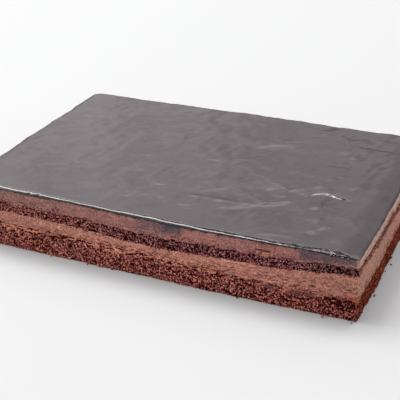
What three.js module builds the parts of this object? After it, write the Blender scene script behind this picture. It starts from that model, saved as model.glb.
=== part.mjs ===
// Opera cake: a whole, uncut sheet of five layers whose four sides are trimmed with a long knife.
// From the bottom up: a thick soaked sponge, a layer of chocolate cream, a thinner sponge, a
// second layer of cream, and a thin chocolate glaze poured over the top before trimming.
// Millimetres, +Z up. The origin is the middle of the underside, and +X runs along the long side.

import * as THREE from "three";

// ---- driving dimensions ----

const LENGTH = 300; // along X
const DEPTH = 192; // along Y
const GAP = 0.3; // air between one layer and the next

// The four sides, anticlockwise from above, starting with the front. A side runs from its corner
// `from` in the direction `along` and faces `out`. Its middle stands `bow` proud of its ends,
// `waver` is how uneven the knife left it, and `radius` rounds the corner at its far end.
const SIDES = [
  { name: "front", from: [-1, -1], along: [1, 0], out: [0, -1], bow: 1.0, waver: 0.25, radius: 1.5 },
  { name: "right", from: [1, -1], along: [0, 1], out: [1, 0], bow: 0.6, waver: 0.3, radius: 3 },
  { name: "back", from: [1, 1], along: [-1, 0], out: [0, 1], bow: 0.4, waver: 0.55, radius: 6 },
  { name: "left", from: [-1, 1], along: [0, -1], out: [-1, 0], bow: 0.5, waver: 0.5, radius: 2 },
];
const COLUMN_SPACING = 4.2; // between neighbouring points along a side
const ARC_STEPS = 3; // facets round a corner

// Heights of the seams between the layers. `front` gives the height along the front cut, at even
// steps from the left end to the right end; towards the back each seam settles to `back`.
// `ragged` is how far the crumb breaks the seam up or down where it shows at the cut.
const SEAMS = {
  spongeCream: { front: [20.5, 20.2, 19.6, 18.4, 17.0, 15.8, 16.2], back: 17.4, ragged: 0.8 },
  creamSponge: { front: [29.6, 29.4, 28.0, 25.4, 27.4, 29.3, 34.2], back: 27.4, ragged: 0.3 },
  spongeTopCream: { front: [38.6, 37.2, 36.8, 34.4, 35.7, 36.6, 40.2], back: 35.6, ragged: 0.8 },
  creamGlaze: { front: [47.6, 47.8, 47.8, 46.3, 46.2, 46.7, 46.9], back: 46.2, ragged: 0.1 },
  glazeTop: { front: [50.0, 49.7, 49.1, 48.4, 48.1, 48.0, 48.4], back: 48.5, ragged: 0 },
};

// Plan grids inside the cut edge: `inset` is the distance of the outermost grid line from the cut.
const HIDDEN_GRID = { inset: 14, cell: 30 };
const TOP_GRID = { inset: 9, cell: 9 };

// Walls: each row of a wall is [share of the layer's height, how far it stands back from the cut].
const CREAM_WALL = [[0, 0.25], [0.5, 0], [1, 0.25]];
const GLAZE_WALL = [[0, 0.5], [0.28, 0], [0.62, 0.1], [0.88, 0.8], [1, 2.4]];
const SPONGE_ROW = 3.4; // height of a row of crumb relief
const SPONGE_SETBACK = 0.3;
const CRUMB_DEEP = 1.1; // deepest hole torn in the crumb
const CRUMB_PROUD = 0.35; // how far a crumb stands out of the cut

// ---- seeded chance ----

// A repeatable stream of numbers from 0 to 1 (mulberry32).
function chance(seed) {
  let state = seed;
  return () => {
    state = (state + 0x6d2b79f5) | 0;
    let mixed = Math.imul(state ^ (state >>> 15), 1 | state);
    mixed = (mixed + Math.imul(mixed ^ (mixed >>> 7), 61 | mixed)) ^ mixed;
    return ((mixed ^ (mixed >>> 14)) >>> 0) / 4294967296;
  };
}

// ---- the plan ----

// The knife's waver along the whole cut edge; `turn` counts the sides passed, from 0 to 4.
function waver(turn) {
  const round = (turn / 4) * 2 * Math.PI;
  const long = Math.sin(7 * round + 0.6);
  const middle = 0.6 * Math.sin(19 * round + 2.1);
  const short = 0.35 * Math.sin(41 * round + 4.4);
  return long + middle + short;
}

// One station of the cut edge: its place, the way out of the cake there, and its turn.
function station(x, y, out, turn) {
  const side = SIDES[Math.floor(turn) % 4];
  const share = turn - Math.floor(turn);
  const swell = side.bow * 4 * share * (1 - share) + side.waver * waver(turn);
  return { x: x + out[0] * swell, y: y + out[1] * swell, out, turn };
}

// All stations of the cut edge, anticlockwise from above: each side, then the arc at its end.
function cutEdge() {
  const stations = [];
  SIDES.forEach((side, k) => {
    const next = SIDES[(k + 1) % 4];
    const startRadius = SIDES[(k + 3) % 4].radius;
    const length = side.along[0] === 0 ? DEPTH : LENGTH;
    const nextLength = next.along[0] === 0 ? DEPTH : LENGTH;
    const corner = [(side.from[0] * LENGTH) / 2, (side.from[1] * DEPTH) / 2];
    const at = (distance, back) => [
      corner[0] + side.along[0] * distance - side.out[0] * back,
      corner[1] + side.along[1] * distance - side.out[1] * back,
    ];
    const straight = length - startRadius - side.radius;
    const columns = Math.round(straight / COLUMN_SPACING);
    for (let i = 0; i <= columns; i += 1) {
      const distance = startRadius + (straight * i) / columns;
      const [x, y] = at(distance, 0);
      stations.push(station(x, y, side.out, k + distance / length));
    }
    const centre = at(length - side.radius, side.radius);
    for (let j = 1; j < ARC_STEPS; j += 1) {
      const share = j / ARC_STEPS;
      const angle = (share * Math.PI) / 2;
      const out = [
        side.out[0] * Math.cos(angle) + side.along[0] * Math.sin(angle),
        side.out[1] * Math.cos(angle) + side.along[1] * Math.sin(angle),
      ];
      const before = k + 1 - side.radius / length;
      const after = k + 1 + side.radius / nextLength;
      const turn = before + (after - before) * share;
      stations.push(
        station(centre[0] + out[0] * side.radius, centre[1] + out[1] * side.radius, out, turn)
      );
    }
  });
  return stations;
}

// A rectangular grid of points inside the cut edge: its points, its triangles (anticlockwise
// from above), and its outermost loop with each point's turn.
function innerGrid({ inset, cell }) {
  const width = LENGTH - 2 * inset;
  const depth = DEPTH - 2 * inset;
  const nx = Math.round(width / cell);
  const ny = Math.round(depth / cell);
  const at = (i, j) => j * (nx + 1) + i;
  const points = [];
  const triangles = [];
  for (let j = 0; j <= ny; j += 1) {
    for (let i = 0; i <= nx; i += 1) {
      points.push({ x: (i / nx - 0.5) * width, y: (j / ny - 0.5) * depth });
      if (i < nx && j < ny) {
        triangles.push([at(i, j), at(i + 1, j), at(i + 1, j + 1)]);
        triangles.push([at(i, j), at(i + 1, j + 1), at(i, j + 1)]);
      }
    }
  }
  const loop = [];
  for (let i = 0; i < nx; i += 1) loop.push({ index: at(i, 0), turn: i / nx });
  for (let j = 0; j < ny; j += 1) loop.push({ index: at(nx, j), turn: 1 + j / ny });
  for (let i = 0; i < nx; i += 1) loop.push({ index: at(nx - i, ny), turn: 2 + i / nx });
  for (let j = 0; j < ny; j += 1) loop.push({ index: at(0, ny - j), turn: 3 + j / ny });
  return { points, triangles, loop };
}

// A full cover of the plan: the grid, and a band of triangles that joins it to the cut edge.
// Points 0 to stations.length - 1 are the cut edge's, and the grid's points follow them.
function coverPlan(stations, grid) {
  const shift = stations.length;
  const triangles = grid.triangles.map((triangle) => triangle.map((index) => index + shift));
  const outerTurn = (i) => stations[i % shift].turn + (i >= shift ? 4 : 0);
  const count = grid.loop.length;
  const innerTurn = (j) => grid.loop[j % count].turn + (j >= count ? 4 : 0);
  const innerIndex = (j) => grid.loop[j % count].index + shift;
  let i = 0;
  let j = 0;
  while (i < shift || j < count) {
    const stepOuter = j >= count || (i < shift && outerTurn(i + 1) <= innerTurn(j + 1));
    if (stepOuter) {
      triangles.push([i % shift, (i + 1) % shift, innerIndex(j)]);
      i += 1;
    } else {
      triangles.push([i % shift, innerIndex(j + 1), innerIndex(j)]);
      j += 1;
    }
  }
  return { grid, triangles };
}

// ---- heights ----

// The height of a seam over any point of the plan: a smooth curve along the front cut that
// settles to the seam's even height towards the back.
function seamHeight(seam, x, y) {
  const points = seam.front.map((height, i) => new THREE.Vector2(i, height));
  const share = THREE.MathUtils.clamp(x / LENGTH + 0.5, 0, 1);
  const front = new THREE.SplineCurve(points).getPoint(share).y;
  const settled = THREE.MathUtils.smoothstep(y, -DEPTH / 2, DEPTH / 2);
  return THREE.MathUtils.lerp(front, seam.back, settled);
}

// Low swells that the palette knife leaves in the glaze, long against their height.
function glazeSwell(x, y) {
  const broad = 0.2 * Math.sin(x / 38 + y / 61);
  const cross = 0.16 * Math.sin(y / 23 - x / 70 + 1.3);
  const short = 0.06 * Math.sin(x / 15 + y / 12 + 0.4);
  return broad + cross + short;
}

// ---- layers ----

const edge = cutEdge();
const hiddenPlan = coverPlan(edge, innerGrid(HIDDEN_GRID));
const topPlan = coverPlan(edge, innerGrid(TOP_GRID));

// How far the crumb lifts or drops each seam at each station of the cut edge. Both layers that
// meet at a seam share these steps, so they follow each other across the gap.
const raggedSteps = new Map(
  Object.values(SEAMS).map((seam, k) => {
    const draw = chance(100 + k);
    return [seam, edge.map(() => (draw() * 2 - 1) * seam.ragged)];
  })
);

// A face of a seam, moved up or down by half the gap: heights at a station and inside.
function seamFace(seam, offset, swell = () => 0) {
  const inside = (x, y) => seamHeight(seam, x, y) + swell(x, y) + offset;
  const atStation = (i, x, y) => inside(x, y) + raggedSteps.get(seam)[i];
  return { inside, atStation };
}

const underside = { inside: () => 0, atStation: () => 0 };

// The closed solid of one layer: a flat or uneven underside, a wall of rows round the cut edge,
// and a top. `rows` lists each wall row as [share of height, setback], and `relief` gives how far
// a point of the wall stands in or out.
function layerGeometry({ bottom, top, rows, relief = () => 0, topCover = hiddenPlan }) {
  const position = [];
  const index = [];
  const columns = edge.length;
  const bottomPoints = hiddenPlan.grid.points;
  const topPoints = topCover.grid.points;

  rows.forEach(([share, setback], row) => {
    edge.forEach((place, i) => {
      const out = relief(i, row) - setback;
      const x = place.x + place.out[0] * out;
      const y = place.y + place.out[1] * out;
      const low = bottom.atStation(i, x, y);
      const high = top.atStation(i, x, y);
      position.push(x, y, THREE.MathUtils.lerp(low, high, share));
    });
  });
  for (let row = 0; row < rows.length - 1; row += 1) {
    for (let i = 0; i < columns; i += 1) {
      const a = row * columns + i;
      const b = row * columns + ((i + 1) % columns);
      index.push(a, b, b + columns, a, b + columns, a + columns);
    }
  }

  const bottomStart = rows.length * columns;
  bottomPoints.forEach(({ x, y }) => position.push(x, y, bottom.inside(x, y)));
  hiddenPlan.triangles.forEach(([a, b, c]) => {
    const vertex = (k) => (k < columns ? k : k - columns + bottomStart);
    index.push(vertex(c), vertex(b), vertex(a));
  });

  const lastRow = (rows.length - 1) * columns;
  const topStart = bottomStart + bottomPoints.length;
  topPoints.forEach(({ x, y }) => position.push(x, y, top.inside(x, y)));
  topCover.triangles.forEach(([a, b, c]) => {
    const vertex = (k) => (k < columns ? k + lastRow : k - columns + topStart);
    index.push(vertex(a), vertex(b), vertex(c));
  });

  const geometry = new THREE.BufferGeometry();
  geometry.setAttribute("position", new THREE.Float32BufferAttribute(position, 3));
  geometry.setIndex(index);
  geometry.computeVertexNormals();
  return geometry;
}

function layer(name, shape, color, roughness) {
  const material = new THREE.MeshStandardMaterial({ color, roughness, metalness: 0 });
  const mesh = new THREE.Mesh(layerGeometry(shape), material);
  mesh.name = name;
  return mesh;
}

// The torn crumb of a cut sponge: every point of the wall between its two edges is pulled in or
// pushed out by chance, holes going deeper than crumbs stand proud.
function crumbRelief(seed, rowCount) {
  const draw = chance(seed);
  const steps = Array.from({ length: rowCount * edge.length }, draw);
  return (i, row) => {
    const step = steps[row * edge.length + i];
    const onEdge = row === 0 || row === rowCount - 1;
    const deep = onEdge ? CRUMB_PROUD : CRUMB_DEEP;
    return CRUMB_PROUD - (deep + CRUMB_PROUD) * step * step;
  };
}

function sponge(name, bottom, top, height, seed, color) {
  const bands = Math.round(height / SPONGE_ROW);
  const rows = Array.from({ length: bands + 1 }, (_, row) => [row / bands, SPONGE_SETBACK]);
  return layer(name, { bottom, top, rows, relief: crumbRelief(seed, rows.length) }, color, 0.95);
}

function cream(name, bottom, top, color) {
  return layer(name, { bottom, top, rows: CREAM_WALL }, color, 0.55);
}

function glaze(name, bottom, top, color) {
  return layer(name, { bottom, top, rows: GLAZE_WALL, topCover: topPlan }, color, 0.15);
}

const under = (seam) => seamFace(seam, -GAP / 2);
const over = (seam) => seamFace(seam, GAP / 2);
const { spongeCream, creamSponge, spongeTopCream, creamGlaze, glazeTop } = SEAMS;

const operaCake = new THREE.Group();
operaCake.name = "opera_cake";
operaCake.add(
  sponge("lower_sponge", underside, under(spongeCream), 18, 11, 0x5f332a),
  cream("lower_cream", over(spongeCream), under(creamSponge), 0x9d6b5f),
  sponge("upper_sponge", over(creamSponge), under(spongeTopCream), 9, 12, 0x5a2f29),
  cream("upper_cream", over(spongeTopCream), under(creamGlaze), 0x895c56),
  glaze("glaze", over(creamGlaze), seamFace(glazeTop, 0, glazeSwell), 0x2a2426)
);

export default operaCake;
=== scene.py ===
"""A whole opera cake on a pale table: five layers in a low block, trimmed on its four sides.

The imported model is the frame. Each of its layers is replaced by a finer skin of the same form:
sponges with an open, torn crumb, creams with the drag of the knife, and a dark mirror glaze.
The sections follow the cake as it is put together, from the bottom up. Shapes are worked out in
millimetres, with the origin in the middle of the underside, and are written in metres.
"""

import math
import bpy
import numpy as np
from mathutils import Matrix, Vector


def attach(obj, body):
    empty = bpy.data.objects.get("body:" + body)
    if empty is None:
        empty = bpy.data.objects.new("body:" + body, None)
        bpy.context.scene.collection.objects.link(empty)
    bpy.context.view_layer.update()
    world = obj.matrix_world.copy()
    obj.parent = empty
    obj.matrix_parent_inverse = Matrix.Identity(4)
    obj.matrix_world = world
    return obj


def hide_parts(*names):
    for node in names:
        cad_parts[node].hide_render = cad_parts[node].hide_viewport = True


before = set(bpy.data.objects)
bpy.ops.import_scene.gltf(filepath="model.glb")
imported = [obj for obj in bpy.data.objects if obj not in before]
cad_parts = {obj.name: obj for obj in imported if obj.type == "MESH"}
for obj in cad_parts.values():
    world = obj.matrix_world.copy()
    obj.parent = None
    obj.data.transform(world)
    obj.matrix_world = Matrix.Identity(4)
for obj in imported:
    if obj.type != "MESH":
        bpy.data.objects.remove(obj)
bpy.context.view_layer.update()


# ---- The trimmed outline ---------------------------------------------------------------------
# The assembled sheet is trimmed on all four sides with one long knife, so every layer ends on the
# same line: four nearly straight sides with a slight bow and waver, and small rounded corners.

LENGTH = 300.0
DEPTH = 192.0
CORNERS = np.cumsum([0, LENGTH, DEPTH, LENGTH, DEPTH])  # walked round from the front left corner
GIRTH = CORNERS[-1]
SIDES = [  # front, right, back and left, anticlockwise from above; radius rounds the far corner
    dict(start=(-1, -1), along=(1, 0), out=(0, -1), length=LENGTH, bow=1.0, waver=0.25, radius=1.5),
    dict(start=(1, -1), along=(0, 1), out=(1, 0), length=DEPTH, bow=0.6, waver=0.3, radius=3.0),
    dict(start=(1, 1), along=(-1, 0), out=(0, 1), length=LENGTH, bow=0.4, waver=0.55, radius=6.0),
    dict(start=(-1, 1), along=(0, -1), out=(-1, 0), length=DEPTH, bow=0.5, waver=0.5, radius=2.0),
]


def travel_of(turn):
    """Millimetres walked round the cake from its front left corner to each turn."""
    return np.interp(turn, range(5), CORNERS)


def outline(turn):
    """Place and outward direction at each turn, which is a side's number plus the share along it.

    A side is a straight line plus a low parabola, its bow, and three sine waves, the knife's
    waver. Over the last millimetres before a corner the outward direction swings by 45 degrees on
    each side of it, and the line follows that quarter circle.
    """
    place = np.zeros(turn.shape + (2,))
    out = np.zeros_like(place)
    ring = turn / 4 * 2 * np.pi
    wave = np.sin(7 * ring + 0.6) + 0.6 * np.sin(19 * ring + 2.1) + 0.35 * np.sin(41 * ring + 4.4)
    for k, side in enumerate(SIDES):
        here = np.floor(turn) == k
        share = turn[here] - k
        travel = share * side["length"]
        start_radius, end_radius = SIDES[k - 1]["radius"], side["radius"]
        start = np.clip(1 - travel / start_radius, 0, 1)
        end = np.clip(1 - (side["length"] - travel) / end_radius, 0, 1)
        angle = (end - start) * math.pi / 4
        radius = np.where(end > 0, end_radius, start_radius)
        along, facing = np.array(side["along"]), np.array(side["out"])
        turned = np.outer(np.cos(angle), facing) + np.outer(np.sin(angle), along)
        straight = np.clip(travel, start_radius, side["length"] - end_radius)
        corner = np.array(side["start"]) * (LENGTH / 2, DEPTH / 2)
        swell = side["bow"] * 4 * share * (1 - share) + side["waver"] * wave[here]
        place[here] = (
            corner
            + np.outer(straight, along)
            + radius[:, None] * (turned - facing)
            + swell[:, None] * turned
        )
        out[here] = turned
    return place, out


# ---- The seams between the layers ------------------------------------------------------------
# Each layer is spread by hand, so the seams rise and fall along the front cut and the layers run
# thick and thin; towards the back each seam settles to an even height.

SEAMS = {  # heights at even steps along the front cut from left to right, and at the back
    "sponge_cream": ((20.5, 20.2, 19.6, 18.4, 17.0, 15.8, 16.2), 17.4),
    "cream_sponge": ((29.6, 29.4, 28.0, 25.4, 27.4, 29.3, 34.2), 27.4),
    "sponge_top_cream": ((38.6, 37.2, 36.8, 34.4, 35.7, 36.6, 40.2), 35.6),
    "cream_glaze": ((47.6, 47.8, 47.8, 46.3, 46.2, 46.7, 46.9), 46.2),
    "glaze_top": ((50.0, 49.7, 49.1, 48.4, 48.1, 48.0, 48.4), 48.5),
}
RAGGED = {  # how far the crumb breaks up each seam at the cut
    "sponge_cream": 1.3,
    "cream_sponge": 0.5,
    "sponge_top_cream": 1.3,
    "cream_glaze": 0.1,
}
SEAM_SEED = 20
LATTICE_TOP = 60.0  # the random lattices on the walls reach up to this height


def eased(share):
    """An S-shaped ease from 0 to 1: three times the square less twice the cube."""
    return share * share * (3 - 2 * share)


def through_knots(knots, i, f):
    """The Catmull-Rom curve through knots, at a share f of the way from knot i + 1 to the next."""
    a, b, c, d = knots[i], knots[i + 1], knots[i + 2], knots[i + 3]
    return b + 0.5 * f * (c - a + f * (2 * a - 5 * b + 4 * c - d + f * (3 * (b - c) + d - a)))


def seam_height(seam, x, y):
    """Height of a seam over the plan.

    A Catmull-Rom curve runs through the heights along the front cut, and an S-shaped ease carries
    it to the even height at the back.
    """
    front, back = SEAMS[seam]
    knots = np.array([front[0], *front, front[-1]])
    reach = np.clip((x / LENGTH + 0.5) * (len(front) - 1), 0, len(front) - 1)
    i = np.minimum(reach.astype(int), len(front) - 2)
    along_front = through_knots(knots, i, reach - i)
    return along_front + (back - along_front) * eased(np.clip(y / DEPTH + 0.5, 0, 1))


def swells(travel, height, wide, high, seed):
    """Smooth random swells from -1 to 1 on a wall.

    A random value stands at every corner of a lattice of cells `wide` by `high` millimetres that
    closes on itself round the cake, and is eased from corner to corner.
    """
    count = round(GIRTH / wide)
    rows = math.ceil(LATTICE_TOP / high) + 3
    values = np.random.default_rng(seed).uniform(-1, 1, (count, rows))
    u = travel / GIRTH * count
    v = height / high + 1
    i, j = np.floor(u).astype(int), np.floor(v).astype(int)
    f, g = eased(u - i), eased(v - j)
    below = values[i % count, j] * (1 - f) + values[(i + 1) % count, j] * f
    above = values[i % count, j + 1] * (1 - f) + values[(i + 1) % count, j + 1] * f
    return below * (1 - g) + above * g


def cut_seam(seam, place, travel):
    """Height of a seam where it shows at the cut, broken up by the crumb in steps of 1 to 7 mm."""
    smooth = seam_height(seam, place[:, 0], place[:, 1])
    level = np.zeros_like(travel)
    seed = SEAM_SEED + list(SEAMS).index(seam)
    broken = (
        0.5 * swells(travel, level, 7, 9, seed)
        + 0.5 * swells(travel, level, 2.8, 9, seed + 10)
        + 0.3 * swells(travel, level, 1.5, 9, seed + 20)
    )
    return smooth + RAGGED[seam] * broken


# ---- The lower sponge ------------------------------------------------------------------------
# A thick sheet of dark chocolate sponge, soaked with syrup. The knife tears its open crumb, so the
# cut is a close pack of small grains, with pores from pinpricks to a few millimetres, which are
# darkened with painted shade.

COLUMN_COUNTS = (1000, 400, 400, 280)  # columns of points on the front, right, back and left
COLUMNS = np.concatenate([k + np.arange(n) / n for k, n in enumerate(COLUMN_COUNTS)])
EDGE, OUTWARD = outline(COLUMNS)
TRAVEL = travel_of(COLUMNS)
LOWER_SPONGE_ROWS = 40
LOWER_CRUMB_SEED = 100


def lattice_of(cell):
    """How many square cells a lattice has round the cake, where it closes up, and up the wall."""
    return round(GIRTH / cell), math.ceil(LATTICE_TOP / cell) + 4


def nearby(travel, height, cell, spot_u, spot_v):
    """Goes through the nine lattice cells nearest to each point of a wall.

    Each cell has one spot, given as shares of the cell. Gives the cells' numbers and how far off
    their spots are from the points, across and upward.
    """
    count = len(spot_u)
    u = travel / GIRTH * count
    v = height / cell + 2
    i, j = np.floor(u).astype(int), np.floor(v).astype(int)
    for di in (-1, 0, 1):
        for dj in (-1, 0, 1):
            at = (i + di) % count, j + dj
            yield at, (i + di + spot_u[at] - u) * cell, (j + dj + spot_v[at] - v) * cell


def bowls(travel, height, cell, filled, small, large, flat, seed):
    """Round hollows in a wall, 0 at the rim of a hollow to 1 at its middle.

    The share `filled` of the wall's square cells holds one hollow each, at a random spot and with
    a radius between `small` and `large`. The depth is that of a half ellipse, `flat` times wider
    than high, and hollows may join.
    """
    cells, draw = lattice_of(cell), np.random.default_rng(seed)
    spots = draw.uniform(0.1, 0.9, cells), draw.uniform(0.1, 0.9, cells)
    radius = draw.uniform(small, large, cells)
    radius[draw.uniform(0, 1, cells) > filled] = 1e-3  # an empty cell
    deep = np.zeros(np.broadcast(travel, height).shape)
    for at, across, upward in nearby(travel, height, cell, *spots):
        deep = np.maximum(deep, 1 - ((across / flat) ** 2 + upward**2) / radius[at] ** 2)
    return np.sqrt(deep)


def grains(travel, height, cell, small, large, seed):
    """Torn grains of crumb: how far the highest one stands out at each point, and its own tone.

    Each square cell of the wall holds one grain, at a random spot and of a random size and
    stretch, most of them upright, as the knife pulls them. A grain is half an ellipsoid that
    stands 0.8 of its radius, sunk or raised a little. Where no grain reaches, both values are 0.
    """
    cells, draw = lattice_of(cell), np.random.default_rng(seed)
    spots = draw.uniform(0, 1, cells), draw.uniform(0, 1, cells)
    radius = draw.uniform(small, large, cells)
    lean, narrow = draw.uniform(0.25, 0.75, cells) * np.pi, draw.uniform(1, 1.9, cells)
    raised, tone_of_grain = draw.uniform(-0.4, 0.25, cells) * large, draw.uniform(-1, 1, cells)
    best = np.zeros(np.broadcast(travel, height).shape)
    best_tone = np.zeros_like(best)
    for at, across, upward in nearby(travel, height, cell, *spots):
        cos, sin = np.cos(lean[at]), np.sin(lean[at])
        long = across * cos + upward * sin
        short = (upward * cos - across * sin) * narrow[at]
        inside = np.clip(1 - (long**2 + short**2) / radius[at] ** 2, 0, 1)
        rise = 0.8 * radius[at] * np.sqrt(inside) + raised[at] * (inside > 0)
        best_tone = np.where(rise > best, tone_of_grain[at], best_tone)
        best = np.maximum(rise, best)
    return best, best_tone


MEAN_CRUMB = 0.65  # the crumb stands out about this far on average, and is set back by it
CREVICE = 0.34  # crumb that stands out less than this is a gap between grains


def torn_crumb(travel, height, seed):
    """How far a sponge's cut stands out, in millimetres, how deep each point lies, and its tone.

    Large grains stand among small ones, at places nudged by swells so that no outline stays
    regular. Small and large round pores are sunk between them, and low lumps carry all of it.
    """
    nudge = 0.8 * swells(travel, height, 6, 5, seed + 1)
    u = travel + 0.4 * swells(travel, height, 1.3, 1.1, seed) + nudge
    v = height + 0.35 * swells(travel, height, 1.2, 1.1, seed + 2)
    large, large_tone = grains(u, v, cell=1.12, small=0.4, large=0.78, seed=seed + 3)
    small, small_tone = grains(u, v, cell=0.68, small=0.28, large=0.48, seed=seed + 4)
    small = 0.9 * small
    crumb = np.maximum(large, small)
    pores = np.maximum(
        bowls(u, v, cell=1.7, filled=0.45, small=0.36, large=0.76, flat=1.2, seed=seed + 5),
        bowls(u, v, cell=4.4, filled=0.3, small=0.7, large=1.3, flat=1.4, seed=seed + 7),
    )
    lumps = 0.35 * swells(travel, height, 8, 5, seed + 6)
    stand_out = lumps + crumb - MEAN_CRUMB - pores
    # Deep points, in the gaps between grains and in pores, are given painted shade in the material.
    deep = np.clip(np.maximum((CREVICE - crumb) / CREVICE, 1.3 * pores), 0, 1)
    return stand_out, deep, np.where(large > small, large_tone, small_tone)


def wall_rows(low, high, count):
    """Heights of `count` + 1 rows between the two seams of a layer at the cut."""
    share = np.linspace(0, 1, count + 1)[:, None]
    return low + (high - low) * share


def ring_grid(ring_count, columns):
    """Point numbers of stacked closed rings, and the quads that join each ring to the next."""
    index = np.arange(ring_count * columns).reshape(ring_count, columns)
    right = np.roll(index, -1, axis=1)
    return index, np.stack([index[:-1], right[:-1], right[1:], index[1:]], axis=-1).reshape(-1, 4)


def fan(pole, ring):
    """Triangles that close a ring at a pole below it. Read backwards they close it from above."""
    return np.column_stack([np.full(len(ring), pole), np.roll(ring, -1), ring])


MM = 0.001  # metres


def mesh_object(name, points, face_groups):
    """A smooth-shaded object from points in millimetres and arrays of faces of one size each."""
    mesh = bpy.data.meshes.new(name)
    mesh.vertices.add(len(points))
    mesh.vertices.foreach_set("co", (points * MM).astype(np.float32).ravel())
    corners = np.concatenate([faces.ravel() for faces in face_groups])
    sizes = np.concatenate([np.full(len(faces), faces.shape[1]) for faces in face_groups])
    mesh.loops.add(len(corners))
    mesh.loops.foreach_set("vertex_index", corners.astype(np.int32))
    mesh.polygons.add(len(sizes))
    starts = np.concatenate([[0], np.cumsum(sizes)[:-1]])
    mesh.polygons.foreach_set("loop_start", starts.astype(np.int32))
    mesh.polygons.foreach_set("use_smooth", np.ones(len(sizes), bool))
    mesh.update(calc_edges=True)
    mesh.validate()
    made = bpy.data.objects.new(name, mesh)
    bpy.context.scene.collection.objects.link(made)
    return made


def keep_mark(piece, mark, values, first=0):
    """Keeps a value for each point under a name, from point number `first` on, and 0 elsewhere."""
    whole = np.zeros(len(piece.data.vertices), np.float32)
    whole[first : first + values.size] = values.ravel()
    piece.data.attributes.new(mark, "FLOAT", "POINT").data.foreach_set("value", whole)


SHARES_INSIDE = (0.96, 0.6)  # rings inside the cut edge, as shares of the way out
CENTRE = np.zeros(2)


def layer_skin(name, low, high, heights, stand_out, marks):
    """The closed skin of a layer that ends at the cut.

    Rings run from the middle of the underside out to the cut, up the wall, which stands out by
    `stand_out` along the outward direction, and back in over the top; a point closes each end.
    `low` and `high` name the seams below and above, None being the flat table. `marks` holds
    values for the wall's points or its columns, kept as attributes for the material.
    """
    wall = EDGE + OUTWARD * stand_out[..., None]
    wall = np.concatenate([wall, heights[..., None]], axis=-1)

    def inner_rings(seam, shares):
        rings = []
        for share in shares:
            plan = EDGE * share
            z = seam_height(seam, plan[:, 0], plan[:, 1]) if seam else np.zeros(len(EDGE))
            rings.append(np.column_stack([plan, z]))
        return rings

    below = inner_rings(low, SHARES_INSIDE[::-1])
    rings = np.concatenate([below, wall, inner_rings(high, SHARES_INSIDE)])
    bottom = seam_height(low, *CENTRE) if low else 0.0
    poles = np.array([[0, 0, bottom], [0, 0, seam_height(high, *CENTRE)]])

    ring_count, columns = rings.shape[:2]
    index, quads = ring_grid(ring_count, columns)
    low_fan = fan(index.size, index[0])
    high_fan = fan(index.size + 1, index[-1])[:, ::-1]
    points = np.concatenate([rings.reshape(-1, 3), poles])
    skin = mesh_object(name, points, [quads, low_fan, high_fan])
    for mark, values in marks.items():
        on_wall = np.broadcast_to(values, heights.shape)
        keep_mark(skin, mark, on_wall, first=len(below) * columns)
    return skin


def tone(red, green, blue):
    """Linear colour of a tone given in screen values from 0 to 255."""
    values = np.array([red, green, blue]) / 255
    linear = np.where(values <= 0.04045, values / 12.92, ((values + 0.055) / 1.055) ** 2.4)
    return (*linear.tolist(), 1.0)


def put(tree, socket, value):
    """Links an output to a socket, or sets the socket to a plain value."""
    if isinstance(value, bpy.types.NodeSocket):
        tree.links.new(value, socket)
    else:
        socket.default_value = value


def add_node(tree, kind, settings=None, **inputs):
    """Adds a node. Each input is given under its socket's name, with _ for a space."""
    made = tree.nodes.new(kind)
    for key, value in (settings or {}).items():
        setattr(made, key, value)
    for key, value in inputs.items():
        put(tree, made.inputs[key.replace("_", " ")], value)
    return made


def finish_of(name, roughness, specular):
    """A new material with its shader's roughness and specular level set."""
    material = bpy.data.materials.new(name)
    material.use_nodes = True
    tree = material.node_tree
    shader = tree.nodes["Principled BSDF"]
    shader.inputs["Roughness"].default_value = roughness
    shader.inputs["Specular IOR Level"].default_value = specular
    return material, tree, shader


def mix(tree, share, first, second, mode="MIX"):
    """The colour between two colours at a share from 0 to 1, or another blend of them."""
    blend = tree.nodes.new("ShaderNodeMix")
    blend.data_type = "RGBA"
    blend.blend_type = mode
    for slot, value in ((0, share), (6, first), (7, second)):
        put(tree, blend.inputs[slot], value)
    return blend.outputs[2]


def combine(tree, first, second, operation="ADD"):
    """The sum of two values, or what another operation makes of them."""
    node = tree.nodes.new("ShaderNodeMath")
    node.operation = operation
    put(tree, node.inputs[0], first)
    put(tree, node.inputs[1], second)
    return node.outputs[0]


def steps(tree, value, low, high, start=0.0, end=1.0):
    """A value moved from the range low to high onto start to end, and held within it."""
    ends = dict(From_Min=low, From_Max=high, To_Min=start, To_Max=end)
    return add_node(tree, "ShaderNodeMapRange", Value=value, **ends).outputs["Result"]


def curve(tree, value, *points):
    """A value carried along the broken line through the points, and held level beyond its ends."""
    total = points[0][1]
    for (low, start), (high, end) in zip(points, points[1:]):
        total = combine(tree, total, steps(tree, value, low, high, 0, end - start))
    return total


def mark_of(tree, name):
    """The value that a mesh keeps under a name."""
    return add_node(tree, "ShaderNodeAttribute", {"attribute_name": name}).outputs["Fac"]


def grain_of(tree, scale, detail=2.0, stretch=(1, 1, 1)):
    """Cloudy noise on the piece's own coordinates, `scale` cells a metre, squeezed by `stretch`."""
    place = add_node(tree, "ShaderNodeTexCoord").outputs["Object"]
    place = add_node(tree, "ShaderNodeMapping", Vector=place, Scale=stretch).outputs[0]
    noise = add_node(
        tree, "ShaderNodeTexNoise", Vector=place, Scale=scale, Detail=detail, Roughness=0.6
    )
    return noise.outputs["Fac"]


def bump(tree, shader, height, millimetres):
    """Fine relief of the given height that only the light sees."""
    relief = add_node(
        tree, "ShaderNodeBump", Height=height, Strength=1.0, Distance=millimetres * MM
    )
    tree.links.new(relief.outputs["Normal"], shader.inputs["Normal"])


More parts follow.
